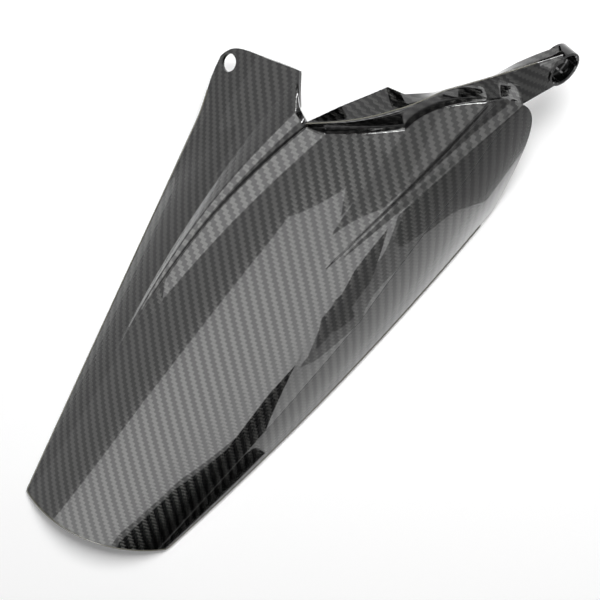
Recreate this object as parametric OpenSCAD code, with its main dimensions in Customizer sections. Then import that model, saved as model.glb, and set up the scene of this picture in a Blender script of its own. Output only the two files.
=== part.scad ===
// Rear hugger fender of a motorcycle: one moulded carbon-fibre shell, in millimetres.
// The shell lies on its two long side edges, with +Y forwards, +X to the right and +Z up.

/* [Shell] */
// length of the crown from the tail edge to the root of the right arm
shell_length = 360; // [320:1:400]
// width over the side edges at the tail
tail_width = 91; // [80:1:110]
// width over the side edges at the skirt's front corner
front_width = 178; // [160:1:200]
// how far the right side edge bows outwards
side_bow = 6; // [0:0.5:10]
// crown height over the side edges at the tail
tail_rise = 17; // [14:1:34]
// crown height over the side edges at the front
front_rise = 60; // [50:1:75]
// thickness of the moulding
wall = 2.2; // [1.6:0.1:3]
// slant of the tail edge across the shell, in degrees
tail_skew = 10; // [0:0.5:15]
// how far the tail edge is rounded outwards at the crown
tail_round = 8; // [0:0.5:12]

/* [Front edge] */
// how far the right skirt's front corner stays behind the arm's root
skirt_setback = 66; // [50:1:95]
// how far the crown's front edge stays behind the arm's root, at the right crease's foot
crown_setback = 48; // [35:1:60]
// how far the bottom of the notch beside the tab stays behind the arm's root
notch_setback = 77; // [72:1:90]
// how far the left tab's inner corner stays behind the arm's root
tab_setback = 55; // [45:1:65]
// how far the tab's outer corner stays behind its inner corner
tab_slant = 14; // [10:1:24]
// how far the tab flares outwards at its front
tab_flare = 3; // [0:0.5:7]
// how far the side edge is raised behind the tab
tab_raise = 10; // [4:1:14]
// how far the flat of the tab reaches back from its front edge, at the side edge
tab_flat = 21; // [20:0.5:26]
// drop of the lip that is turned down between the tab and the notch
lip_drop = 2.5; // [0:0.5:4]
// width of that lip
lip_width = 3; // [2:0.5:5]

/* [Creases] */
// height of the left raised crease at the front
left_ridge = 6; // [2:0.5:9]
// height of the right raised crease at the front
right_ridge = 7; // [2:0.5:10]
// depth of the groove inside each crease
groove = 3; // [1:0.5:5]
// where the left crease runs out, measured from the tail
left_tip = 94; // [60:1:130]
// where the right crease runs out, measured from the tail
right_tip = 205; // [170:1:240]
// where the left crease reaches its full height, measured from the tail
left_full = 250; // [180:1:270]
// where the right crease reaches its full height, measured from the tail
right_full = 310; // [270:1:320]

/* [Rim] */
// height of the raised rim over the crown's front edge
rim_rise = 11.5; // [8:0.5:15]
// how far the rim bows back from a straight line beside the notch
rim_sag = 5; // [0:0.5:7]
// drop of the return that is turned down in front of the rim
return_drop = 8; // [5:0.5:12]
// reach of the return at its pointed corner
return_reach = 8; // [4:0.5:12]

/* [Fixings] */
// bore in the left tab
tab_bore_d = 10; // [8:0.1:12]
// distance of the tab bore's centre from the tab's front edge
tab_bore_edge = 9; // [8.5:0.5:10.5]
// height of the tab bore's centre over the side edges
tab_height = 19; // [16:0.5:22]
// well for the bolt head in the right lug
well_d = 17.5; // [14:0.1:19]
// bolt hole in the floor of the well
lug_bore_d = 6.6; // [5:0.1:9]
// wall round the well
lug_wall = 2; // [1.5:0.1:4]
// depth of the well
well_depth = 7; // [4:0.5:10]
// floor under the well
lug_floor = 3; // [2:0.5:6]
// distance of the lug's centre in front of the arm's root
lug_reach = 29; // [24:1:36]

/* [Hidden] */
$fn = 48;

// rows along the shell, over the rim and down the return
shell_rows = 30;
band_rows = 3;
return_rows = 3;
// columns between neighbouring lines, from the left edge to the right edge
column_counts = [10, 2, 2, 2, 9, 4, 2, 8];

// each line of the creases: x at the tail, where it runs out and at the front, and its bow
outer_left  = [-38, -46.5, -50.5, -5.5];
crest_left  = [-35, -45, -37.5, -7];
inner_left  = [-32, -43.5, -29.5, -9];
foot_left   = [-27, -42, -20.5, -6.5];
foot_right  = [9, 13.5, 14.5, 0];
crest_right = [14, 20, 39.5, 0];
outer_right = [18, 22.5, 56, -2];

function mix(a, b, t) = a + (b - a) * t;
function clamp01(t) = max(0, min(1, t));
function ease(t) = let (c = clamp01(t)) c * c * (3 - 2 * c);
function unit(v) = v / norm(v);

// half widths and crown height at a distance from the tail
skirt_y = shell_length - skirt_setback;
function half_width(y) = mix(tail_width, front_width, min(1, y / skirt_y)) / 2;
function bow(y) = let (s = clamp01(y / skirt_y)) 4 * side_bow * s * (1 - s);
function right_width(y) = half_width(y) + bow(y);
function rise(y) = mix(front_rise, tail_rise, pow(1 - min(1, y / shell_length), 1.3));

// length over which the side edge is raised behind the tab
raise_run = 30;

// front end of each line, measured from the tail
line_front = [shell_length - tab_setback - tab_slant, shell_length - tab_setback,
              shell_length - notch_setback + 6, shell_length - notch_setback,
              shell_length - notch_setback + 3, shell_length - crown_setback,
              shell_length - 10, shell_length - 2, skirt_y];
function front_blend(k, t) = k == 0 ? t - 0.55 * pow(1 - t, 9) : k == 5 ? pow(t, 0.55)
    : k == 7 ? t * t : t;
function front_y(k, t) = mix(line_front[k], line_front[k + 1], front_blend(k, t));

// each half of a section is an arc: its angle at the side edge, and a line's share of that angle
function side_angle(w, y) = 2 * atan(rise(y) / w);
lines = [outer_left, crest_left, inner_left, foot_left, foot_right, crest_right, outer_right];
function tip_y(k) = k < 5 ? left_tip : right_tip;
function line_x(k, y) = let (e = lines[k - 1], s = (y - tip_y(k)) / (line_front[k] - tip_y(k)))
    y < tip_y(k) ? mix(e[0], e[1], y / tip_y(k))
                 : mix(e[1], e[2], s) + 4 * e[3] * clamp01(s) * (1 - clamp01(s));
function line_share(k, y) = k == 0 ? -1 : k == 8 ? 1
    : let (x = line_x(k, y), w = x < 0 ? half_width(y) : right_width(y), a = side_angle(w, y))
    asin(x / w * sin(a)) / a;

// raised creases: height over the arch at each line, grown from the tip forwards
line_lift = [0, 0, left_ridge, left_ridge - 1, -1, -1, right_ridge, right_ridge, 0];
function grow(k, y) = k < 5 ? ease((y - left_tip) / (left_full - left_tip))
                            : ease((y - right_tip) / (right_full - right_tip));
function flare(k, t, y) = k > 0 ? 0
    : ease((y - line_front[0] + 1.5 * raise_run) / raise_run) * pow(1 - t, 1.5);
function lift(k, t, y) =
    mix(line_lift[k] * grow(k, y), line_lift[k + 1] * grow(k + 1, y), t) + tab_flare * flare(k, t, y)
    - ((k == 2 || k == 6) ? groove * 4 * t * (1 - t) * grow(k, y) : 0)
    - (k == 1 || k == 2 ? lip_drop * (k == 2 ? 1 - t : t) * ease((y - front_y(k, t)) / lip_width + 1) : 0);

// the tab is flat round its bore, in front of a fold
tab_axis = unit([-0.63, -0.165, 0.76]);
fold_run = 4;
tab_bore_t = 0.19;
tab_y = front_y(0, tab_bore_t) - tab_bore_edge;
tab_x = arch_point(mix(-1, line_share(1, tab_y), tab_bore_t), tab_y, lift(0, tab_bore_t, tab_y))[0];
tab_place = [tab_x, tab_y, tab_height];
function front_gap(k, t) = k == 0 ? mix(tab_flat, lip_width, t) : k < 3 ? lip_width
    : mix(lip_width, shell_length / shell_rows, k == 3 ? t : 1);
function on_tab(p) = [p[0], p[1], tab_height
    - ((p[0] - tab_x) * tab_axis[0] + (p[1] - tab_y) * tab_axis[1]) / tab_axis[2]];

// a point of the outer face, at a share of the way from the crown to a side edge
function arch_point(share, y, out) =
    let (w = share < 0 ? half_width(y) : right_width(y), a = side_angle(w, y), r = w / sin(a))
    [(r + out) * sin(share * a), y, (r + out) * cos(share * a) - r * cos(a)];
function shell_point(k, t, r) =
    let (tail_share = mix(line_share(k, 0), line_share(k + 1, 0), t),
         tail_y = arch_point(tail_share, 0, 0)[0] * tan(tail_skew)
                  - tail_round * (1 - pow(tail_share, 2)),
         gap_y = front_y(k, t) - front_gap(k, t),
         y = lookup(r, [[0, tail_y], [1 - 2 / shell_rows, gap_y - fold_run],
                        [1 - 1 / shell_rows, gap_y], [1, front_y(k, t)]]),
         share = mix(line_share(k, y), line_share(k + 1, y), t),
         free = arch_point(share, y, lift(k, t, y)) + [0, 0, tab_raise * flare(k, t, y)],
         flat = k > 0 ? 0 : ease((y - gap_y) / fold_run + 1) * ease(2 * (1 - t)))
    mix(free, on_tab(free), flat);

// columns as [line, part of the way to the next line]
columns = [for (k = [0 : len(column_counts) - 1], i = [0 : column_counts[k] - 1])
               [k, i / column_counts[k]], [len(column_counts) - 1, 1]];
last_column = len(columns) - 1;
function columns_before(k) = k == 0 ? 0 : columns_before(k - 1) + column_counts[k - 1];
notch_column = columns_before(3);
arm_column = columns_before(7);
function arm_share(j) = clamp01((j - arm_column) / (last_column - arm_column));

// the rim runs straight from the notch to the lug
rim_start = shell_point(3, 0, 1) + [-3, 1, 1];
rim_way = unit([0.66, 0.75, 0]);
rim_out = [-rim_way[1], rim_way[0], 0];
rim_end = [52.5, shell_length + 21];
rim_length = norm([rim_start[0], rim_start[1]] - rim_end);
arm_root = shell_point(7, 0, 1);
lug_place = arm_root + lug_reach * unit([0.3, 1, -0.22]);
lug_axis = unit([0.78, -0.05, 0.62]);
lug_radius = well_d / 2 + lug_wall;
function rim_share(j) =
    let (root = j <= arm_column ? shell_point(columns[j][0], columns[j][1], 1)
             : mix(arm_root, lug_place, arm_share(j)))
    (root - rim_start) * rim_way / rim_length;
function rim_point(j) = let (s = rim_share(j))
    rim_start + s * rim_length * rim_way - rim_sag * sin(180 * clamp01(s / 0.6)) * rim_out
    + [0, 0, -s + rim_rise * sin(180 * clamp01(s))];

// reach and drop of the return along the rim
reaches = [[0, 0], [0.19, 0.5], [0.38, 1], [0.44, 0.25], [0.55, -0.1], [0.8, -0.15],
           [0.92, 0.25], [1.1, 0.6]];
function return_step(j) = let (s = rim_share(j))
    (return_reach * lookup(s, reaches) + rim_sag * sin(180 * clamp01(s / 0.6))) * rim_out
    - [0, 0, return_drop * ease(s * 5) * mix(1, 0.7, arm_share(j))];

function root_point(j) = j <= arm_column
    ? shell_point(columns[j][0], columns[j][1], 1)
    : mix(arm_root, lug_place - 0.8 * lug_radius * unit([-0.5, 0.6, 0.6]), arm_share(j));
function band_point(j, r) = mix(root_point(j), rim_point(j), r);
function return_point(j, r) = rim_point(j) + return_step(j) * r;

rows = shell_rows + 1 + band_rows + return_rows;
function grid_point(i, j) = i <= shell_rows
    ? shell_point(columns[j][0], columns[j][1], i / shell_rows)
    : i <= shell_rows + 1 + band_rows
    ? band_point(j, (i - shell_rows) / (1 + band_rows))
    : return_point(j, (i - shell_rows - 1 - band_rows) / return_rows);
outer = [for (i = [0 : rows]) [for (j = [0 : last_column]) grid_point(i, j)]];

// the faces that exist: all of the shell, then the band and return from the notch to the lug
function has_face(i, j) = i >= 0 && j >= 0 && i < rows && j < last_column
    && (i < shell_rows || (j >= notch_column && (i > shell_rows || j < arm_column)));

// the inner face lies one wall inside the outer one
function face_way(i, j) = has_face(i, j)
    ? cross(outer[i][j + 1] - outer[i + 1][j], outer[i + 1][j + 1] - outer[i][j])
    : [0, 0, 0];
function point_way(i, j) = i >= shell_rows - 1 && columns[j][0] == 0 && columns[j][1] <= 0.5 ? tab_axis
    : let (s = face_way(i - 1, j - 1) + face_way(i - 1, j) + face_way(i, j - 1) + face_way(i, j))
    norm(s) > 0 ? unit(s) : [0, 0, 1];
inner = [for (i = [0 : rows]) [for (j = [0 : last_column])
             outer[i][j] - wall * point_way(i, j)]];

across = last_column + 1;
inner_start = (rows + 1) * across;
function at(i, j) = i * across + j;
function wall_face(a, b) = [a, b, b + inner_start, a + inner_start];
module moulding() {
    polyhedron(
        points = [for (row = outer, p = row) p, for (row = inner, p = row) p],
        faces = [
            for (i = [0 : rows - 1], j = [0 : last_column - 1]) if (has_face(i, j))
                each [[at(i, j), at(i + 1, j), at(i + 1, j + 1)],
                      [at(i, j), at(i + 1, j + 1), at(i, j + 1)],
                      [inner_start + at(i, j), inner_start + at(i + 1, j + 1),
                       inner_start + at(i + 1, j)],
                      [inner_start + at(i, j), inner_start + at(i, j + 1),
                       inner_start + at(i + 1, j + 1)]],
            for (i = [0 : rows - 1], j = [0 : last_column - 1]) if (has_face(i, j))
                each [if (!has_face(i, j - 1)) wall_face(at(i + 1, j), at(i, j)),
                      if (!has_face(i, j + 1)) wall_face(at(i, j + 1), at(i + 1, j + 1)),
                      if (!has_face(i - 1, j)) wall_face(at(i, j), at(i, j + 1)),
                      if (!has_face(i + 1, j)) wall_face(at(i + 1, j + 1), at(i + 1, j))]],
        convexity = 6);
}

// turns a shape drawn along +Z so that it points along a direction
module point_along(way) {
    rotate([0, acos(way[2]), atan2(way[1], way[0])]) children();
}

module fender_shell() {
    color([0.06, 0.06, 0.07])
    translate(-tab_place)
    difference() {
        union() {
            moulding();
            translate(lug_place) point_along(lug_axis)
                translate([0, 0, -well_depth - lug_floor])
                cylinder(r = lug_radius, h = well_depth + lug_floor);
        }
        translate(tab_place) point_along(tab_axis)
            translate([0, 0, -4 * wall]) cylinder(d = tab_bore_d, h = 8 * wall);
        translate(lug_place) point_along(lug_axis)
            translate([0, 0, -well_depth]) cylinder(d = well_d, h = 4 * well_depth);
        translate(lug_place) point_along(lug_axis)
            translate([0, 0, -2 * well_depth - lug_floor])
            cylinder(d = lug_bore_d, h = 3 * well_depth);
    }
}

fender_shell();
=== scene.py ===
"""Looks of a motorcycle's rear hugger fender: a clear-coated carbon-fibre moulding on a white table."""
import math

import bmesh
import bpy
import numpy as np
from mathutils import Matrix, Vector


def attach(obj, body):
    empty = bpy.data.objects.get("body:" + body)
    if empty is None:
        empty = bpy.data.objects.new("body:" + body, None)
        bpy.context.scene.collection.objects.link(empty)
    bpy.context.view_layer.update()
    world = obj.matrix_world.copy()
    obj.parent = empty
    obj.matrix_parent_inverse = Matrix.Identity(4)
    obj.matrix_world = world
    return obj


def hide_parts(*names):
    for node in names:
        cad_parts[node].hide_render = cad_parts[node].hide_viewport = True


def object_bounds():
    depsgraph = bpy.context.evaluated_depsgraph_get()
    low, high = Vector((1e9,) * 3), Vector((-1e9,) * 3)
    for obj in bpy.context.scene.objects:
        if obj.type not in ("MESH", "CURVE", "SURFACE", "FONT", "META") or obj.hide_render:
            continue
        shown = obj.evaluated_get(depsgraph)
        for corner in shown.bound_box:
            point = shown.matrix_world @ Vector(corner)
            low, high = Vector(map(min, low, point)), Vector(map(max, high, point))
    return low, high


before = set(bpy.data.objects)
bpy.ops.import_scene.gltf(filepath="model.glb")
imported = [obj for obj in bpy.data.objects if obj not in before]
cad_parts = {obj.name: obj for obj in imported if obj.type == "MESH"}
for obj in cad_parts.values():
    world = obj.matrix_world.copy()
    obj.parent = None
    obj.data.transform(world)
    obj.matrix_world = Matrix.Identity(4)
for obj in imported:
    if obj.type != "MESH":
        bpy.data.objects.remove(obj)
cad_box = [list(corner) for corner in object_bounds()]

MM = 0.001

# The moulding's sizes, in millimetres, as in the part's source.
SHELL_LENGTH = 360
TAIL_WIDTH = 91
FRONT_WIDTH = 178
SIDE_BOW = 6
TAIL_RISE = 17
FRONT_RISE = 60
WALL = 2.2
TAIL_SKEW = math.tan(math.radians(10))
TAIL_ROUND = 8
SKIRT_Y = SHELL_LENGTH - 66
CROWN_Y = SHELL_LENGTH - 48
NOTCH_Y = SHELL_LENGTH - 77
TAB_Y = SHELL_LENGTH - 55
TAB_SLANT = 14
TAB_FLARE = 3
TAB_RAISE = 10
RAISE_RUN = 30
TAB_FLAT = 21
FOLD_RUN = 4
LIP_DROP = 2.5
LIP_WIDTH = 3
LEFT_RIDGE = 6
RIGHT_RIDGE = 7
GROOVE = 3
LEFT_TIP = 94
RIGHT_TIP = 205
LEFT_FULL = 250
RIGHT_FULL = 310
RIM_RISE = 11.5
RIM_SAG = 5
RETURN_DROP = 8
RETURN_REACH = 8
TAB_BORE_R = 5.0
TAB_BORE_EDGE = 9
TAB_BORE_T = 0.19
TAB_HEIGHT = 19
WELL_R = 8.75
LUG_BORE_R = 3.3
LUG_WALL = 2
WELL_DEPTH = 7
LUG_FLOOR = 3
LUG_REACH = 29

# What only the looks have: rounded creases, the crown's step into the band, the tab's soft fold, the beads.
CREASE_SOFTNESS = 1.0
CREASE_SMOOTHING = (1, 2, 3, 4, 3, 2, 1)
FRONT_STEP = 3
EDGE_FOLD_RUN = 80
EDGE_BEAD = 0.45
RIM_BEAD = 0.4
BEAD_STEP = 2
BEAD_SIDES = 10

# The rim starts beside the notch and ends beside the arm; directions of rim, arm, lug and the lug's foot.
RIM_START_SHIFT = np.array([-3, 1, 1])
RIM_END = (52.5, SHELL_LENGTH + 21)
RIM_WAY = (0.66, 0.75, 0)
ARM_WAY = (0.3, 1, -0.22)
LUG_WAY = (0.78, -0.05, 0.62)
LUG_FOOT_WAY = (-0.5, 0.6, 0.6)
LUG_FOOT = 0.8 * (WELL_R + LUG_WALL)
ARM_RETURN = 0.7

# Each crease line: x at the tail, where it runs out and at the front, and its bow.
CREASES = [
    (-38, -46.5, -50.5, -5.5),
    (-35, -45, -37.5, -7),
    (-32, -43.5, -29.5, -9),
    (-27, -42, -20.5, -6.5),
    (9, 13.5, 14.5, 0),
    (14, 20, 39.5, 0),
    (18, 22.5, 56, -2),
]

# Where each line meets the front edge, how high it stands there, and how far the return reaches.
LINE_FRONT = [TAB_Y - TAB_SLANT, TAB_Y, NOTCH_Y + 6, NOTCH_Y, NOTCH_Y + 3, CROWN_Y,
              SHELL_LENGTH - 10, SHELL_LENGTH - 2, SKIRT_Y]
LINE_LIFT = [0, 0, LEFT_RIDGE, LEFT_RIDGE - 1, -1, -1, RIGHT_RIDGE, RIGHT_RIDGE, 0]
RETURN_REACHES = [(0, 0), (0.19, 0.5), (0.38, 1), (0.44, 0.25), (0.55, -0.1), (0.8, -0.15),
                  (0.92, 0.25), (1.1, 0.6)]

# Steps of the visual mesh: faces between neighbouring lines, and rows along, over the rim and down.
COLUMN_COUNTS = [34, 18, 18, 22, 48, 42, 26, 48]
PANEL_ROWS = 110
FOLD_ROWS = 20
EDGE_ROWS = 12
SHELL_ROWS = PANEL_ROWS + FOLD_ROWS + EDGE_ROWS
CAD_ROWS = 30
FOLD_FROM = 1 - 2 / CAD_ROWS
FOLD_TO = 1 - 1 / CAD_ROWS
BAND_ROWS = 26
RETURN_ROWS = 8
RIM_ROW = SHELL_ROWS + 1 + BAND_ROWS
LAST_ROW = RIM_ROW + RETURN_ROWS
NOTCH_COLUMN = sum(COLUMN_COUNTS[:3])
ARM_COLUMN = sum(COLUMN_COUNTS[:7])
LAST_COLUMN = sum(COLUMN_COUNTS)


def mix(a, b, t):
    return a + (b - a) * t


def clamp01(t):
    return np.clip(t, 0, 1)


def ease(t):
    c = clamp01(t)
    return c * c * (3 - 2 * c)


def unit(v):
    v = np.asarray(v, float)
    return v / np.linalg.norm(v)


# The moulding's form, in millimetres from the middle of the tail.

def half_width(y):
    return mix(TAIL_WIDTH, FRONT_WIDTH, np.minimum(1, y / SKIRT_Y)) / 2


def right_width(y):
    s = clamp01(y / SKIRT_Y)
    return half_width(y) + 4 * SIDE_BOW * s * (1 - s)


def rise(y):
    return mix(FRONT_RISE, TAIL_RISE, (1 - np.minimum(1, y / SHELL_LENGTH)) ** 1.3)


def front_y(k, t):
    """Where the strip after a line, at a share of its width, meets the front edge."""
    bends = {0: t - 0.55 * (1 - t) ** 9, 5: t ** 0.55, 7: t * t}
    return mix(LINE_FRONT[k], LINE_FRONT[k + 1], bends.get(k, t))


def tip_y(k):
    return LEFT_TIP if k < 5 else RIGHT_TIP


def line_share(k, y):
    """A line's place in each section, from -1 at the left edge to 1 at the right edge."""
    if k in (0, 8):
        return np.full_like(y, -1.0 if k == 0 else 1.0)
    tail, tip, front, bow = CREASES[k - 1]
    s = (y - tip_y(k)) / (LINE_FRONT[k] - tip_y(k))
    x = np.where(y < tip_y(k), mix(tail, tip, y / tip_y(k)),
                 mix(tip, front, s) + 4 * bow * clamp01(s) * (1 - clamp01(s)))
    w = np.where(x < 0, half_width(y), right_width(y))
    a = 2 * np.arctan(rise(y) / w)
    return np.arcsin(np.clip(x / w * np.sin(a), -1, 1)) / a


def grow(k, y):
    """How far a line's crease has risen: 0 at its tip, 1 where it is full."""
    if k < 5:
        return ease((y - LEFT_TIP) / (LEFT_FULL - LEFT_TIP)) ** 0.7
    return ease((y - RIGHT_TIP) / (RIGHT_FULL - RIGHT_TIP)) ** 0.7


def crease_profile(share, y, knots):
    """Height of the creases over the arch."""
    out = np.zeros_like(y)
    for k in range(8):
        t = (share - knots[k]) / (knots[k + 1] - knots[k])
        value = mix(LINE_LIFT[k] * grow(k, y), LINE_LIFT[k + 1] * grow(k + 1, y), t)
        if k in (2, 6):
            value = value - GROOVE * 4 * t * (1 - t) * grow(k, y)
        out = np.where((t >= 0) & (t <= 1), value, out)
    return out


def section(share, y):
    """Arc angle, radius and side angle of a section's half at a share of its way to the edge."""
    w = np.where(share < 0, half_width(y), right_width(y))
    a = 2 * np.arctan(rise(y) / w)
    return share * a, w / np.sin(a), a


def flare(t, y):
    """How far the tab's strip has swung out and up, 1 at its outer edge in front."""
    return ease((y - LINE_FRONT[0] + 1.5 * RAISE_RUN) / RAISE_RUN) * (1 - t) ** 1.5


TAB_AXIS = unit([-0.63, -0.165, 0.76])
TAB_BORE_Y = front_y(0, TAB_BORE_T) - TAB_BORE_EDGE


def tab_centre():
    """Centre of the tab's bore on the outer face."""
    y = np.array([TAB_BORE_Y])
    share = mix(-1, line_share(1, y), TAB_BORE_T)
    angle, radius, _ = section(share, y)
    x = (radius + TAB_FLARE * flare(TAB_BORE_T, y)) * np.sin(angle)
    return np.array([x[0], TAB_BORE_Y, TAB_HEIGHT])


def front_gap(k, t):
    """How far the last fold before the front edge stays behind it."""
    if k == 0:
        return mix(TAB_FLAT, LIP_WIDTH, t)
    return LIP_WIDTH if k < 3 else mix(LIP_WIDTH, SHELL_LENGTH / CAD_ROWS, t if k == 3 else 1)


def shell_strip(k, t, r):
    """Points and cloth coordinates of one column of the outer face, in millimetres."""
    zero = np.zeros(1)
    tail_share = mix(line_share(k, zero), line_share(k + 1, zero), t)
    angle, radius, _ = section(tail_share, zero)
    tail_y = float(radius[0] * np.sin(angle[0]) * TAIL_SKEW - TAIL_ROUND * (1 - tail_share[0] ** 2))
    end_y = front_y(k, t)
    gap_y = end_y - front_gap(k, t)
    fold_run = mix(EDGE_FOLD_RUN, FOLD_RUN, t ** 2) if k == 0 else FOLD_RUN
    y = np.interp(r, [0, FOLD_FROM, FOLD_TO, 1], [tail_y, gap_y - fold_run, gap_y, end_y])
    knots = [line_share(n, y) for n in range(9)]
    share = mix(knots[k], knots[k + 1], t)
    angle, radius, side = section(share, y)
    lift = np.zeros_like(y)
    middle = len(CREASE_SMOOTHING) // 2
    for n, weight in enumerate(CREASE_SMOOTHING):
        shift = (n - middle) / middle * CREASE_SOFTNESS / (radius * side)
        nearby = crease_profile(np.clip(share + shift, -1, 1), y, knots)
        lift = lift + weight / sum(CREASE_SMOOTHING) * nearby
    raised = flare(t, y) if k == 0 else 0 * y
    if k in (1, 2):
        lift = lift - LIP_DROP * (1 - t if k == 2 else t) * ease((y - end_y) / LIP_WIDTH + 1)
    out = radius + lift + TAB_FLARE * raised
    points = np.stack([out * np.sin(angle), y,
                       out * np.cos(angle) - radius * np.cos(side) + TAB_RAISE * raised], -1)
    if k == 0:
        tab = tab_centre()
        flat = ease((y - gap_y) / fold_run + 1) * ease(2 * (1 - t))
        across = (points[:, 0] - tab[0]) * TAB_AXIS[0] + (y - tab[1]) * TAB_AXIS[1]
        points[:, 2] = mix(points[:, 2], TAB_HEIGHT - across / TAB_AXIS[2], flat)
    return points, np.stack([radius * angle, y], -1)


def spread(count):
    """Shares of the way between two lines, closer together near each line."""
    t = np.linspace(0, 1, count + 1)[:-1]
    return t - 0.1 * np.sin(2 * math.pi * t)


def shell_rows(grid, cloth):
    """Fills the outer face from the tail to the front edge, column by column."""
    columns = [(k, t) for k, count in enumerate(COLUMN_COUNTS) for t in spread(count)]
    columns.append((len(COLUMN_COUNTS) - 1, 1.0))
    r = np.concatenate([np.linspace(0, FOLD_FROM, PANEL_ROWS + 1),
                        np.linspace(FOLD_FROM, FOLD_TO, FOLD_ROWS + 1)[1:],
                        np.linspace(FOLD_TO, 1, EDGE_ROWS + 1)[1:]])
    for j, (k, t) in enumerate(columns):
        grid[:SHELL_ROWS + 1, j], cloth[:SHELL_ROWS + 1, j] = shell_strip(k, t, r)


def rim_points(start, along, share):
    """A point of the rim's crease beside a point of the crown or arm, and the return's edge below it."""
    way = unit(RIM_WAY)
    out = np.array([-way[1], way[0], 0])
    length = math.hypot(start[0] - RIM_END[0], start[1] - RIM_END[1])
    s = float((along - start) @ way / length)
    sag = RIM_SAG * math.sin(math.pi * float(clamp01(s / 0.6)))
    rim = (start + s * length * way - sag * out
           + np.array([0, 0, -s + RIM_RISE * math.sin(math.pi * float(clamp01(s)))]))
    reach = RETURN_REACH * np.interp(s, *zip(*RETURN_REACHES)) + sag
    drop = RETURN_DROP * float(ease(s * 5)) * mix(1, ARM_RETURN, share)
    return rim, rim + reach * out - np.array([0, 0, drop])


def rim_rows(grid, cloth):
    """Fills the band in front of the crown, the rim and its return; gives the lug's place."""
    top = grid[SHELL_ROWS]
    start = shell_strip(3, 0.0, np.ones(1))[0][0] + RIM_START_SHIFT
    arm_root = top[ARM_COLUMN]
    lug = arm_root + LUG_REACH * unit(ARM_WAY)
    lug_foot = lug - LUG_FOOT * unit(LUG_FOOT_WAY)
    for j in range(NOTCH_COLUMN, LAST_COLUMN + 1):
        on_arm = j > ARM_COLUMN
        share = float(clamp01((j - ARM_COLUMN) / (LAST_COLUMN - ARM_COLUMN)))
        root = mix(arm_root, lug_foot, share) if on_arm else top[j]
        along = mix(arm_root, lug, share) if on_arm else top[j]
        rim, edge = rim_points(start, along, share)
        step = FRONT_STEP * float(ease((j - NOTCH_COLUMN) / COLUMN_COUNTS[3]) * ease((ARM_COLUMN - j) / 12))
        for n in range(BAND_ROWS + 1):
            u = (n + 1) / (1 + BAND_ROWS)
            drop = step * float(ease(u * 8)) * (1 - u)
            grid[SHELL_ROWS + 1 + n, j] = mix(root, rim, u) - np.array([0, 0, drop])
        for n in range(1, RETURN_ROWS + 1):
            grid[RIM_ROW + n, j] = mix(rim, edge, n / RETURN_ROWS)
        first = SHELL_ROWS + 1
        cloth[first, j] = cloth[SHELL_ROWS, min(j, ARM_COLUMN)]
        cloth[first, j, 0] += on_arm * np.linalg.norm(root - arm_root)
        cloth[first, j, 1] += np.linalg.norm(grid[first, j] - (root if on_arm else grid[SHELL_ROWS, j]))
        for i in range(first + 1, LAST_ROW + 1):
            cloth[i, j] = cloth[i - 1, j]
            cloth[i, j, 1] += np.linalg.norm(grid[i, j] - grid[i - 1, j])
    return lug


def moulding_grid():
    """Points of the outer face by row and column, their places in the cloth, and the lug's place."""
    grid = np.zeros((LAST_ROW + 1, LAST_COLUMN + 1, 3))
    cloth = np.zeros((LAST_ROW + 1, LAST_COLUMN + 1, 2))
    shell_rows(grid, cloth)
    lug = rim_rows(grid, cloth)
    soften_rim(grid)
    blend_arm_root(grid)
    return grid, cloth, lug


RIM_PASSES = 5
ROOT_PASSES = 80
ROOT_COLUMNS = slice(ARM_COLUMN - 14, ARM_COLUMN + 16)


def soften_rim(grid):
    """Rounds the folds at the crown's front edge and at the rim, row by row."""
    for _ in range(RIM_PASSES):
        for j in range(NOTCH_COLUMN, LAST_COLUMN + 1):
            folds = [RIM_ROW + n for n in range(-3, 3)]
            if j <= ARM_COLUMN:
                folds = [SHELL_ROWS + n for n in range(-2, 3)] + folds
            for i, p in {i: (grid[i - 1, j] + 2 * grid[i, j] + grid[i + 1, j]) / 4 for i in folds}.items():
                grid[i, j] = p


def blend_arm_root(grid):
    """Evens out the band where the arm grows from the crown's corner."""
    block = grid[SHELL_ROWS + 1:RIM_ROW - 1, ROOT_COLUMNS]
    for _ in range(ROOT_PASSES):
        block[1:-1, 1:-1] = (block[:-2, 1:-1] + block[2:, 1:-1] + block[1:-1, :-2] + block[1:-1, 2:]) / 4


def face_mask():
    """Which faces of the grid exist: the shell, then band, rim and return beside the notch and on."""
    has = np.zeros((LAST_ROW, LAST_COLUMN), bool)
    has[:SHELL_ROWS] = True
    has[SHELL_ROWS:, NOTCH_COLUMN:] = True
    has[SHELL_ROWS, ARM_COLUMN:] = False
    return has


def point_ways(grid, has):
    """Outward direction at every grid point, from the faces that exist round it."""
    a = grid[:-1, 1:] - grid[1:, :-1]
    b = grid[1:, 1:] - grid[:-1, :-1]
    face = np.cross(a, b) * has[..., None]
    total = np.zeros_like(grid)
    total[:-1, :-1] += face
    total[1:, :-1] += face
    total[:-1, 1:] += face
    total[1:, 1:] += face
    length = np.linalg.norm(total, axis=-1, keepdims=True)
    return np.where(length > 0, total / np.maximum(length, 1e-12), (0, 0, 1))


INNER_PASSES = 12
INNER_EASE = 0.7


def relaxed(inner, has):
    """Evens out the inner face where a tight fold would make it cross itself."""
    padded = np.pad(has, 1)
    inside = padded[:-1, :-1] & padded[1:, :-1] & padded[:-1, 1:] & padded[1:, 1:]
    inside[SHELL_ROWS - EDGE_ROWS - 1:SHELL_ROWS + 1, :COLUMN_COUNTS[0] // 2 + 2] = False
    for _ in range(INNER_PASSES):
        near = np.zeros_like(inner)
        near[1:-1, 1:-1] = (inner[:-2, 1:-1] + inner[2:, 1:-1] + inner[1:-1, :-2] + inner[1:-1, 2:]) / 4
        inner = np.where(inside[..., None], mix(inner, near, INNER_EASE), inner)
    return inner


def new_object(name, mesh):
    obj = bpy.data.objects.new(name, mesh)
    bpy.context.scene.collection.objects.link(obj)
    return obj


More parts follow.
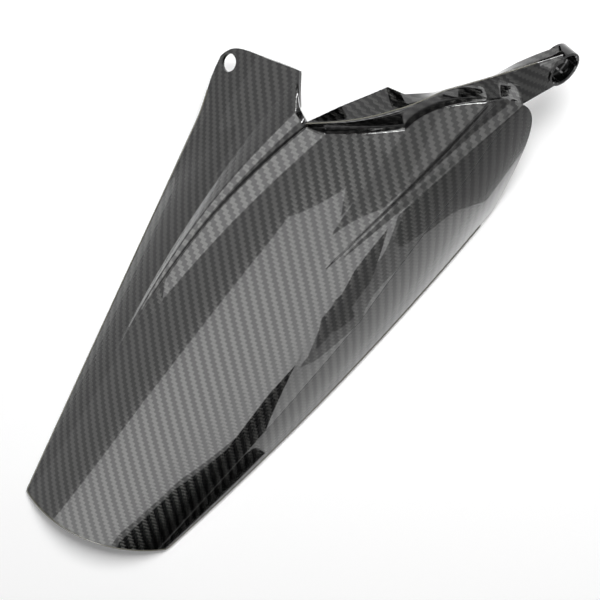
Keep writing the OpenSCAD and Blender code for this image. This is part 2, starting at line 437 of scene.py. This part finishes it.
def hole_loop(gone):
    """Grid corners round a block of left-out faces, in order."""
    follows = {}
    for i, j in zip(*np.nonzero(gone)):
        for side, step in (((i, j - 1), ((i, j), (i + 1, j))), ((i + 1, j), ((i + 1, j), (i + 1, j + 1))),
                           ((i, j + 1), ((i + 1, j + 1), (i, j + 1))), ((i - 1, j), ((i, j + 1), (i, j)))):
            if not gone[side]:
                follows[step[0]] = step[1]
    loop = [next(iter(follows))]
    while follows[loop[-1]] != loop[0]:
        loop.append(follows[loop[-1]])
    return loop


# Radius and depth of each ring of the tab's hole, with its edges rounded.
TAB_HOLE_PROFILE = [(TAB_BORE_R + 0.5, 0), (TAB_BORE_R + 0.15, 0.15), (TAB_BORE_R, 0.5),
                    (TAB_BORE_R, WALL - 0.4), (TAB_BORE_R + 0.4, WALL)]
HOLE_MARGIN = 1.2


def tab_hole(grid, cloth, has, centre):
    """Rings of the tab's hole from the outer face to the inner one, and the faces left out for it."""
    middles = (grid[:-1, :-1] + grid[1:, 1:] + grid[:-1, 1:] + grid[1:, :-1]) / 4
    gone = has & (np.linalg.norm(middles - centre, axis=-1) < TAB_BORE_R + HOLE_MARGIN)
    loop = hole_loop(gone)
    cloth_centre = np.mean([cloth[c] for c in loop], 0)
    rings, maps = [], []
    for radius, depth in TAB_HOLE_PROFILE:
        ring = []
        for c in loop:
            across = grid[c] - centre
            across = across - (across @ TAB_AXIS) * TAB_AXIS
            ring.append(centre + radius * unit(across) - depth * TAB_AXIS)
        rings.append(ring)
        maps.append([mix(cloth_centre, cloth[c], radius / np.linalg.norm(grid[c] - centre)) for c in loop])
    return gone, loop, np.array(rings), np.array(maps)


def moulding_mesh(grid, cloth, has, origin):
    """The closed skin of the moulding with its cloth map, in metres from the tab's bore."""
    ways = point_ways(grid, has)
    ways[SHELL_ROWS - EDGE_ROWS:SHELL_ROWS + 1, :COLUMN_COUNTS[0] // 2 + 1] = TAB_AXIS
    inner = relaxed(grid - WALL * ways, has)
    gone, loop, rings, ring_cloth = tab_hole(grid, cloth, has, origin)
    rows, last = has.shape
    count = (rows + 1) * (last + 1)
    points = np.concatenate([grid.reshape(-1, 3), inner.reshape(-1, 3), rings.reshape(-1, 3)]) - origin
    at = np.arange(count).reshape(rows + 1, last + 1)
    i, j = np.nonzero(has & ~gone)
    outer_faces = np.stack([at[i, j], at[i + 1, j], at[i + 1, j + 1], at[i, j + 1]], -1)
    padded = np.pad(has, 1)
    walls = []
    for di, dj, a, b in ((0, -1, (1, 0), (0, 0)), (0, 1, (0, 1), (1, 1)),
                         (-1, 0, (0, 0), (0, 1)), (1, 0, (1, 1), (1, 0))):
        open_side = ~padded[i + 1 + di, j + 1 + dj]
        p = at[i + a[0], j + a[1]][open_side]
        q = at[i + b[0], j + b[1]][open_side]
        walls.append(np.stack([p, q, q + count, p + count], -1))
    outer_loop = np.array([at[c] for c in loop])
    ladder = [outer_loop, *(2 * count + np.arange(len(rings) * len(loop)).reshape(len(rings), -1)),
              outer_loop + count]
    hole = [np.stack([a, np.roll(a, -1), np.roll(b, -1), b], -1) for a, b in zip(ladder, ladder[1:])]
    faces = np.concatenate([outer_faces, outer_faces[:, ::-1] + count, *walls, *hole])
    used = np.unique(faces)
    renumber = np.full(len(points), -1)
    renumber[used] = np.arange(len(used))
    mesh = bpy.data.meshes.new("shell")
    mesh.from_pydata((points[used] * MM).tolist(), [], renumber[faces].tolist())
    maps = np.concatenate([cloth.reshape(-1, 2), cloth.reshape(-1, 2), ring_cloth.reshape(-1, 2)]) * MM
    layer = mesh.uv_layers.new(name="cloth")
    layer.data.foreach_set("uv", maps[faces.reshape(-1)].astype(np.float32).reshape(-1))
    return mesh


LATHE_STEPS = 96
CUT_LENGTH = 25
SEAM_GAP = 0.005
SHARP_ANGLE = 40
LUG_EDGE = 0.5
WELL_EDGE = 0.6


def lathe(name, profile, place, way, origin):
    """A closed solid of revolution: profile is (radius, height) along a direction."""
    rotation = Vector(way).to_track_quat("Z", "Y").to_matrix()
    bm = bmesh.new()
    rings = []
    for radius, height in profile:
        ring = []
        for n in range(LATHE_STEPS):
            a = 2 * math.pi * n / LATHE_STEPS
            local = Vector((radius * math.cos(a), radius * math.sin(a), height))
            ring.append(bm.verts.new((rotation @ local + Vector(place - origin)) * MM))
        rings.append(ring)
    for low, high in zip(rings, rings[1:]):
        for n in range(LATHE_STEPS):
            m = (n + 1) % LATHE_STEPS
            bm.faces.new((low[n], low[m], high[m], high[n]))
    bm.faces.new(rings[0][::-1])
    bm.faces.new(rings[-1])
    mesh = bpy.data.meshes.new(name)
    bm.to_mesh(mesh)
    bm.free()
    return new_object(name, mesh)


def cut(obj, tool, operation):
    """Applies one boolean with a tool solid and removes the tool."""
    modifier = obj.modifiers.new(operation, "BOOLEAN")
    modifier.operation = operation
    modifier.object = tool
    modifier.solver = "EXACT"
    graph = bpy.context.evaluated_depsgraph_get()
    result = bpy.data.meshes.new_from_object(obj.evaluated_get(graph))
    obj.modifiers.remove(modifier)
    obj.data = result
    bpy.data.objects.remove(tool)


def close_seams(mesh):
    """Joins corners that the cuts left a hair apart and fills what stays open."""
    bm = bmesh.new()
    bm.from_mesh(mesh)
    bmesh.ops.remove_doubles(bm, verts=bm.verts, dist=SEAM_GAP * MM)
    bmesh.ops.holes_fill(bm, edges=[edge for edge in bm.edges if edge.is_boundary], sides=0)
    bm.to_mesh(mesh)
    bm.free()


def build_shell(origin, grid, cloth, lug):
    """The moulding with its lug, well and bolt hole."""
    lug_way = unit(LUG_WAY)
    shell = new_object("carbon_fender", moulding_mesh(grid, cloth, face_mask(), origin))
    r = WELL_R + LUG_WALL
    floor = WELL_DEPTH + LUG_FLOOR
    rounded = [(r - LUG_EDGE, -floor), (r, LUG_EDGE - floor), (r, -LUG_EDGE),
               (r - 0.3 * LUG_EDGE, -0.3 * LUG_EDGE), (r - LUG_EDGE, 0)]
    cut(shell, lathe("lug", rounded, lug, lug_way, origin), "UNION")
    hollow = [(WELL_R - WELL_EDGE, -WELL_DEPTH), (WELL_R, -WELL_DEPTH + WELL_EDGE), (WELL_R, -WELL_EDGE),
              (WELL_R + WELL_EDGE, 0), (WELL_R + WELL_EDGE, CUT_LENGTH)]
    cut(shell, lathe("well", hollow, lug, lug_way, origin), "DIFFERENCE")
    bolt_hole = [(LUG_BORE_R, -CUT_LENGTH), (LUG_BORE_R, 0)]
    cut(shell, lathe("bolt_hole", bolt_hole, lug, lug_way, origin), "DIFFERENCE")
    close_seams(shell.data)
    for face in shell.data.polygons:
        face.use_smooth = True
    shell.data.set_sharp_from_angle(angle=math.radians(SHARP_ANGLE))
    return shell


# Node trees.

class Value:
    """A shader socket that takes part in sums."""

    def __init__(self, tree, socket):
        self.tree, self.socket = tree, socket

    def _math(self, operation, first, second=None):
        return self.tree.make("ShaderNodeMath", {"operation": operation},
                              {0: first, **({} if second is None else {1: second})})

    def __add__(self, other):
        return self._math("ADD", self, other)

    def __sub__(self, other):
        return self._math("SUBTRACT", self, other)

    def __mul__(self, other):
        return self._math("MULTIPLY", self, other)

    def __truediv__(self, other):
        return self._math("DIVIDE", self, other)

    def __mod__(self, other):
        return self._math("FLOORED_MODULO", self, other)

    def __lt__(self, other):
        return self._math("LESS_THAN", self, other)

    def __rsub__(self, other):
        return self._math("SUBTRACT", other, self)

    __radd__, __rmul__ = __add__, __mul__

    def floor(self):
        return self._math("FLOOR", self)

    def sine(self):
        return self._math("SINE", self)

    def power(self, other):
        return self._math("POWER", self, other)


MIX_COLOURS = (6, 7)
MIX_RESULT = 2


class Tree:
    """The nodes of a material, a world or a Geometry Nodes group."""

    def __init__(self, owner):
        if hasattr(owner, "use_nodes"):
            owner.use_nodes = True
            owner = owner.node_tree
        self.nodes, self.links = owner.nodes, owner.links
        self.nodes.clear()

    def make(self, kind, settings=None, inputs=None, output=0):
        """One node: its type, its settings, then its sockets' values or links."""
        node = self.nodes.new(kind)
        for name, value in (settings or {}).items():
            setattr(node, name, value)
        for name, value in (inputs or {}).items():
            if isinstance(value, Value):
                self.links.new(value.socket, node.inputs[name])
            else:
                node.inputs[name].default_value = value
        return Value(self, node.outputs[output]) if len(node.outputs) else None

    def mix_colour(self, factor, first, second):
        sockets = {0: factor, MIX_COLOURS[0]: first, MIX_COLOURS[1]: second}
        return self.make("ShaderNodeMix", {"data_type": "RGBA"}, sockets, MIX_RESULT)


# Beads.

EDGE_BEAD_INSET = 0.2
RIM_BEAD_START = NOTCH_COLUMN + 4
RIM_BEAD_CLEARANCE = 3
RIM_BEAD_SINK = np.array([0, 0, -0.2])
BEAD_INPUTS = {"Path": "NodeSocketGeometry", "Radius": "NodeSocketFloat", "Step": "NodeSocketFloat",
               "Resin": "NodeSocketMaterial"}


def bead_group():
    """Geometry Nodes that turn a path into an even round bead of one material."""
    group = bpy.data.node_groups.new("resin_bead", "GeometryNodeTree")
    for socket, kind in BEAD_INPUTS.items():
        group.interface.new_socket(socket, in_out="INPUT", socket_type=kind)
    group.interface.new_socket("Bead", in_out="OUTPUT", socket_type="NodeSocketGeometry")
    tree = Tree(group)
    given = {socket: tree.make("NodeGroupInput", None, None, socket) for socket in BEAD_INPUTS}
    line = tree.make("GeometryNodeMeshToCurve", None, {"Mesh": given["Path"]})
    even = tree.make("GeometryNodeResampleCurve", {"mode": "LENGTH"},
                     {"Curve": line, "Length": given["Step"]})
    ring = tree.make("GeometryNodeCurvePrimitiveCircle", None,
                     {"Resolution": BEAD_SIDES, "Radius": given["Radius"]})
    tube = tree.make("GeometryNodeCurveToMesh", None,
                     {"Curve": even, "Profile Curve": ring, "Fill Caps": True})
    whole = tree.make("GeometryNodeRealizeInstances", None, {"Geometry": tube})
    finished = tree.make("GeometryNodeSetMaterial", None, {"Geometry": whole, "Material": given["Resin"]})
    tree.make("NodeGroupOutput", None, {"Bead": finished})
    return group


def edge_path(grid):
    """Down the left side, round the tail and up the right side, just inside the cut edge."""
    side = SHELL_ROWS - EDGE_ROWS
    tail = mix(grid[0, 1:-1], grid[1, 1:-1], EDGE_BEAD_INSET)
    return np.concatenate([grid[side:0:-1, 1], tail, grid[1:side, LAST_COLUMN - 1]])


def rim_path(grid):
    """Along the crease of the rim, from beside the notch to the lug."""
    row = grid[RIM_ROW, RIM_BEAD_START:]
    clear_of_lug = np.linalg.norm(row - row[-1], axis=-1) > WELL_R + LUG_WALL + RIM_BEAD_CLEARANCE
    return row[clear_of_lug] + RIM_BEAD_SINK


def resin_bead(name, path, origin, radius, group, resin):
    """A bead of resin along a path, closed at its ends."""
    mesh = bpy.data.meshes.new(name)
    mesh.from_pydata((path - origin) * MM, [(n, n + 1) for n in range(len(path) - 1)], [])
    bead = new_object(name, mesh)
    modifier = bead.modifiers.new(name, "NODES")
    modifier.node_group = group
    sockets = {item.name: item.identifier for item in group.interface.items_tree}
    modifier[sockets["Radius"]] = radius * MM
    modifier[sockets["Step"]] = BEAD_STEP * MM
    modifier[sockets["Resin"]] = resin
    graph = bpy.context.evaluated_depsgraph_get()
    bead.data = bpy.data.meshes.new_from_object(bead.evaluated_get(graph))
    bead.modifiers.remove(modifier)
    for face in bead.data.polygons:
        face.use_smooth = True
    return bead


def build_beads(grid, origin):
    group, resin = bead_group(), resin_material()
    return [resin_bead("edge_bead", edge_path(grid), origin, EDGE_BEAD, group, resin),
            resin_bead("rim_bead", rim_path(grid), origin, RIM_BEAD, group, resin)]


# Materials.

TOW = 2.0 * MM
# The across tows are painted lighter than the along tows: a painted sheen standing for how each fibre
# direction catches the light.
ALONG_TOWS_PAINTED_DARK = (0.008, 0.008, 0.008, 1)
ACROSS_TOWS_PAINTED_SHEEN = (0.05, 0.05, 0.048, 1)
# Painted shade for the low gaps between tows.
TOW_GAP_PAINTED_SHADE = (0.01, 0.01, 0.011, 1)
TOW_HEIGHT = 0.15 * MM
STRANDS = 1400.0
RESIN_COLOUR = (0.07, 0.066, 0.045, 1)


def carbon_material():
    """Black 2x2 twill under a clear coat, with a painted sheen on the across tows and painted shade in the
    gaps between tows; the cloth map is in metres along and across the shell.
    """
    material = bpy.data.materials.new("clear_coated_twill")
    tree = Tree(material)
    cloth = tree.make("ShaderNodeUVMap", {"uv_map": "cloth"})
    across = tree.make("ShaderNodeSeparateXYZ", None, {0: cloth}, "X") / TOW
    along = tree.make("ShaderNodeSeparateXYZ", None, {0: cloth}, "Y") / TOW
    column, row = across.floor(), along.floor()
    u, v = across - column, along - row
    phase = (column + row) % 4
    lengthwise = phase < 2
    round_u = 1 - (2 * u - 1).power(2)
    round_v = 1 - (2 * v - 1).power(2)
    float_v = ((phase + v) * (math.pi / 2)).sine()
    float_u = ((phase - 2 + u) * (math.pi / 2)).sine()
    height = (lengthwise * round_u * (0.5 + 0.5 * float_v)
              + (1 - lengthwise) * round_v * (0.5 + 0.5 * float_u))
    strands = tree.make("ShaderNodeTexNoise", {"noise_dimensions": "2D"},
                        {"Vector": cloth, "Scale": STRANDS, "Detail": 2.0}, "Fac")
    # Painted sheen: the across tows get the lighter colour, the along tows the darker one.
    colour = tree.mix_colour(lengthwise, ACROSS_TOWS_PAINTED_SHEEN, ALONG_TOWS_PAINTED_DARK)
    # Painted shade: darker where the tows dip into the gaps between them, mixed with random strand tone.
    shade = tree.make("ShaderNodeMapRange", None, {
        "Value": height + strands * 0.5, "From Min": 0.0, "From Max": 1.5, "To Min": 0.75, "To Max": 1.05})
    colour = tree.mix_colour(shade, TOW_GAP_PAINTED_SHADE, colour)
    bump = tree.make("ShaderNodeBump", None, {"Height": height, "Strength": 0.35, "Distance": TOW_HEIGHT})
    shader = tree.make("ShaderNodeBsdfPrincipled", None, {
        "Base Color": colour, "Metallic": 1.0, "Roughness": 0.22, "Normal": bump,
        "Coat Weight": 1.0, "Coat Roughness": 0.02, "Coat IOR": 1.6})
    tree.make("ShaderNodeOutputMaterial", None, {"Surface": shader})
    return material


def resin_material():
    """Slightly yellow clear resin over the dark cut edge."""
    material = bpy.data.materials.new("edge_resin")
    tree = Tree(material)
    shader = tree.make("ShaderNodeBsdfPrincipled", None, {
        "Base Color": RESIN_COLOUR, "Roughness": 0.25, "Coat Weight": 1.0,
        "Coat Roughness": 0.05, "Coat IOR": 1.6})
    tree.make("ShaderNodeOutputMaterial", None, {"Surface": shader})
    return material


# Table, light and camera.

TABLE_WHITE = (0.86, 0.86, 0.86, 1)
TABLE_GLOW = 0.17
TABLE_HALF = 6.0
ROOM = 0.12
WALLS = 1.0

# Radiance of the studio's panels, and their places in metres.
SOFTBOX, CEILING_GLOW, STRIP_LIGHT = 2.7, 1.4, 1.9
RIGHT_BOARD, LEFT_CARD, LEFT_SIDE = 1.15, 1.0, 0.8
DIM, BLACK = 0.5, 0.0
CEILING = 1.3
ON_TABLE = 0.0005
SCREEN_DISTANCE = 2.5

# The key lamp, from the middle of the part and the table.
KEY_OFFSET = (-0.4, 1.0, 1.3)
KEY_SIZE = 0.8
KEY_RADIANCE = 19.0


def seen(tree):
    """1 for the rays of the lens and of the gloss, 0 for those that light things."""
    path = [tree.make("ShaderNodeLightPath", None, None, name)
            for name in ("Is Camera Ray", "Is Glossy Ray", "Is Transmission Ray")]
    return 1 - (path[0] + path[1] + path[2] < 0.5)


def floor_material():
    """White table; the lens and the gloss see it a little whiter, with its shadows kept."""
    material = bpy.data.materials.new("white_table")
    tree = Tree(material)
    shade = tree.make("ShaderNodeBsdfDiffuse", None, {"Color": TABLE_WHITE})
    glow = tree.make("ShaderNodeEmission", None, {"Color": (1, 1, 1, 1), "Strength": TABLE_GLOW * seen(tree)})
    both = tree.make("ShaderNodeAddShader", None, {0: shade, 1: glow})
    tree.make("ShaderNodeOutputMaterial", None, {"Surface": both})
    return material


def build_table(low):
    mesh = bpy.data.meshes.new("table")
    corners = [(-1, -1), (1, -1), (1, 1), (-1, 1)]
    mesh.from_pydata([(x * TABLE_HALF, y * TABLE_HALF, low) for x, y in corners], [], [(0, 1, 2, 3)])
    table = new_object("table", mesh)
    mesh.materials.append(floor_material())


def studio_sheet(name, corners, origin, radiance):
    """A flat panel of the studio, seen only in the gloss; corners are metres from the tail's middle."""
    mesh = bpy.data.meshes.new(name)
    mesh.from_pydata([Vector(c) - Vector(origin) * MM for c in corners], [], [tuple(range(len(corners)))])
    sheet = new_object(name, mesh)
    material = bpy.data.materials.new(name)
    tree = Tree(material)
    shader = tree.make("ShaderNodeEmission", None, {"Color": (1, 1, 1, 1), "Strength": radiance})
    tree.make("ShaderNodeOutputMaterial", None, {"Surface": shader})
    mesh.materials.append(material)
    sheet.visible_camera = sheet.visible_diffuse = sheet.visible_shadow = False


def level_sheet(name, corners, height, origin, radiance):
    studio_sheet(name, [(x, y, height) for x, y in corners], origin, radiance)


def upright_sheet(name, eye, corners, origin, radiance, distance=SCREEN_DISTANCE):
    """A standing panel whose corners are headings and elevations seen from a point of the shell."""
    points = []
    for heading, elevation in corners:
        a = math.radians(heading)
        points.append((eye[0] * MM + distance * math.cos(a), eye[1] * MM + distance * math.sin(a),
                       eye[2] * MM + distance * math.tan(math.radians(elevation))))
    studio_sheet(name, points, origin, radiance)


def build_world():
    world = bpy.data.worlds.new("studio")
    bpy.context.scene.world = world
    tree = Tree(world)
    shader = tree.make("ShaderNodeBackground", None, {
        "Color": (1, 1, 1, 1), "Strength": ROOM + (WALLS - ROOM) * seen(tree)})
    tree.make("ShaderNodeOutputWorld", None, {"Surface": shader})


def build_key(middle, low):
    """The one lamp, an area above the front that looks at the middle of the part."""
    data = bpy.data.lights.new("key", "AREA")
    data.shape = "RECTANGLE"
    data.size = data.size_y = KEY_SIZE
    data.energy = KEY_RADIANCE * math.pi * KEY_SIZE ** 2
    lamp = bpy.data.objects.new("key", data)
    aim = Vector((*middle, low))
    lamp.location = aim + Vector(KEY_OFFSET)
    lamp.rotation_euler = Vector(KEY_OFFSET).to_track_quat("Z", "Y").to_euler()
    bpy.context.scene.collection.objects.link(lamp)


def build_overhead(origin):
    """What the crown mirrors: the softbox behind the tail and the ceiling above the right side."""
    level_sheet("softbox", [
        (-0.25, -0.34), (0.29, -0.23), (1.6, -0.6), (2.58, -1.19), (3.97, -1.9), (3.9, -2.3),
        (1.68, -1.45), (0.99, -1.35), (0.8, -2.0), (-1.33, -2.0)], CEILING, origin, SOFTBOX)
    level_sheet("ceiling", [(-0.02, -0.12), (1.2, -0.2), (1.2, 0.5), (-0.02, 0.5)],
                CEILING, origin, CEILING_GLOW)


def build_right_side(origin):
    """What the right side mirrors: a strip light between dark screens, and boards on the table."""
    upright_sheet("strip_light", (47, 130, 20), [(-28.9, 0), (-21, 0), (-25, 8), (-27.8, 16), (-28.9, 23)],
                  origin, STRIP_LIGHT)
    upright_sheet("tail_screen", (40, 90, 20), [
        (-125, 0), (-28.05, 0), (-28.05, 20), (-31, 21), (-34, 17), (-43, 28), (-54, 34), (-75, 36),
        (-125, 36)], origin, BLACK)
    upright_sheet("front_screen", (50, 250, 40), [
        (-21, 0), (60, 0), (60, 45), (-10, 45), (-22, 35), (-28.5, 24), (-28, 16), (-25, 8)],
        origin, DIM, distance=2.4)
    level_sheet("tail_board", [
        (0.07, 0.092), (0.16, 0.04), (2.2, -1.16), (2.2, -2.4), (-1.2, -2.4), (0.0, -0.1), (0.05, 0.0)],
        ON_TABLE, origin, BLACK)
    level_sheet("front_board", [
        (0.107, 0.293), (0.155, 0.268), (0.564, 0.085), (2.4, -0.66), (2.4, 2.0), (0.11, 0.45)],
        ON_TABLE, origin, DIM)
    level_sheet("right_board", [
        (0.07, 0.093), (0.16, 0.041), (2.2, -1.15), (2.4, -0.66), (0.564, 0.085), (0.155, 0.268),
        (0.107, 0.292)], 0.8 * ON_TABLE, origin, RIGHT_BOARD)


def build_front_and_left(origin):
    """What the rim's band and the left side mirror."""
    upright_sheet("front_curtain", (26, 337, 57), [(104, -2), (157, -2), (157, 60), (104, 60)],
                  origin, BLACK, distance=1.0)
    left_eye = (-70, 240, 25)
    upright_sheet("left_card", left_eye, [(170, 7), (236, 7), (236, 22), (170, 22)],
                  origin, LEFT_CARD, distance=2.0)
    upright_sheet("left_wall", left_eye, [(150, -0.7), (250, -0.7), (250, 7), (150, 7)],
                  origin, LEFT_SIDE, distance=2.02)
    level_sheet("left_board", [(-0.055, -0.05), (-1.2, -2.4), (-3.0, -2.4), (-3.0, 0.3), (-0.095, 0.26)],
                ON_TABLE, origin, LEFT_SIDE)
    upright_sheet("front_flag", (39, 240, 44), [(-36, 10), (-28.5, 10), (-28.5, 24.5), (-36, 24.5)],
                  origin, DIM, distance=0.35)


def build_studio(middle, low, origin):
    build_table(low)
    build_world()
    build_key(middle, low)
    build_overhead(origin)
    build_right_side(origin)
    build_front_and_left(origin)


# The photograph's view: its direction and roll, the point in its middle and its scale, in millimetres.
VIEW_FROM = unit([-0.12735, 0.25940, 1.0])
VIEW_ROLL = 55.155
VIEW_TARGET = np.array([22.925, 194.421, 30.0])
VIEW_DISTANCE = 1000.0
PIXELS_PER_MM = 1.75686
PICTURE_PIXELS = 600
SENSOR = 36.0


def build_camera(origin):
    data = bpy.data.cameras.new("camera")
    data.sensor_width = SENSOR
    data.lens = PIXELS_PER_MM * VIEW_DISTANCE * SENSOR / PICTURE_PIXELS
    camera = bpy.data.objects.new("camera", data)
    back = Vector(VIEW_FROM)
    forwards = Vector((0, 1, 0))
    up_table = (forwards - forwards.dot(back) * back).normalized()
    side_table = up_table.cross(back)
    roll = math.radians(VIEW_ROLL)
    right = math.cos(roll) * up_table + math.sin(roll) * side_table
    up = math.sin(roll) * up_table - math.cos(roll) * side_table
    place = (Vector(VIEW_TARGET - origin) + back * VIEW_DISTANCE) * MM
    camera.matrix_world = Matrix.Translation(place) @ Matrix((right, up, back)).transposed().to_4x4()
    bpy.context.scene.collection.objects.link(camera)
    bpy.context.scene.camera = camera


grid, cloth, lug = moulding_grid()
origin = tab_centre()
shell = build_shell(origin, grid, cloth, lug)
shell.data.materials.clear()
shell.data.materials.append(carbon_material())
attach(shell, "root")
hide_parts("fender_shell")
for bead in build_beads(grid, origin):
    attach(bead, "root")

table_z = cad_box[0][2]
middle = ((cad_box[0][0] + cad_box[1][0]) / 2, (cad_box[0][1] + cad_box[1][1]) / 2)
build_studio(middle, table_z, origin)
build_camera(origin)
bpy.context.scene.view_settings.view_transform = "Standard"
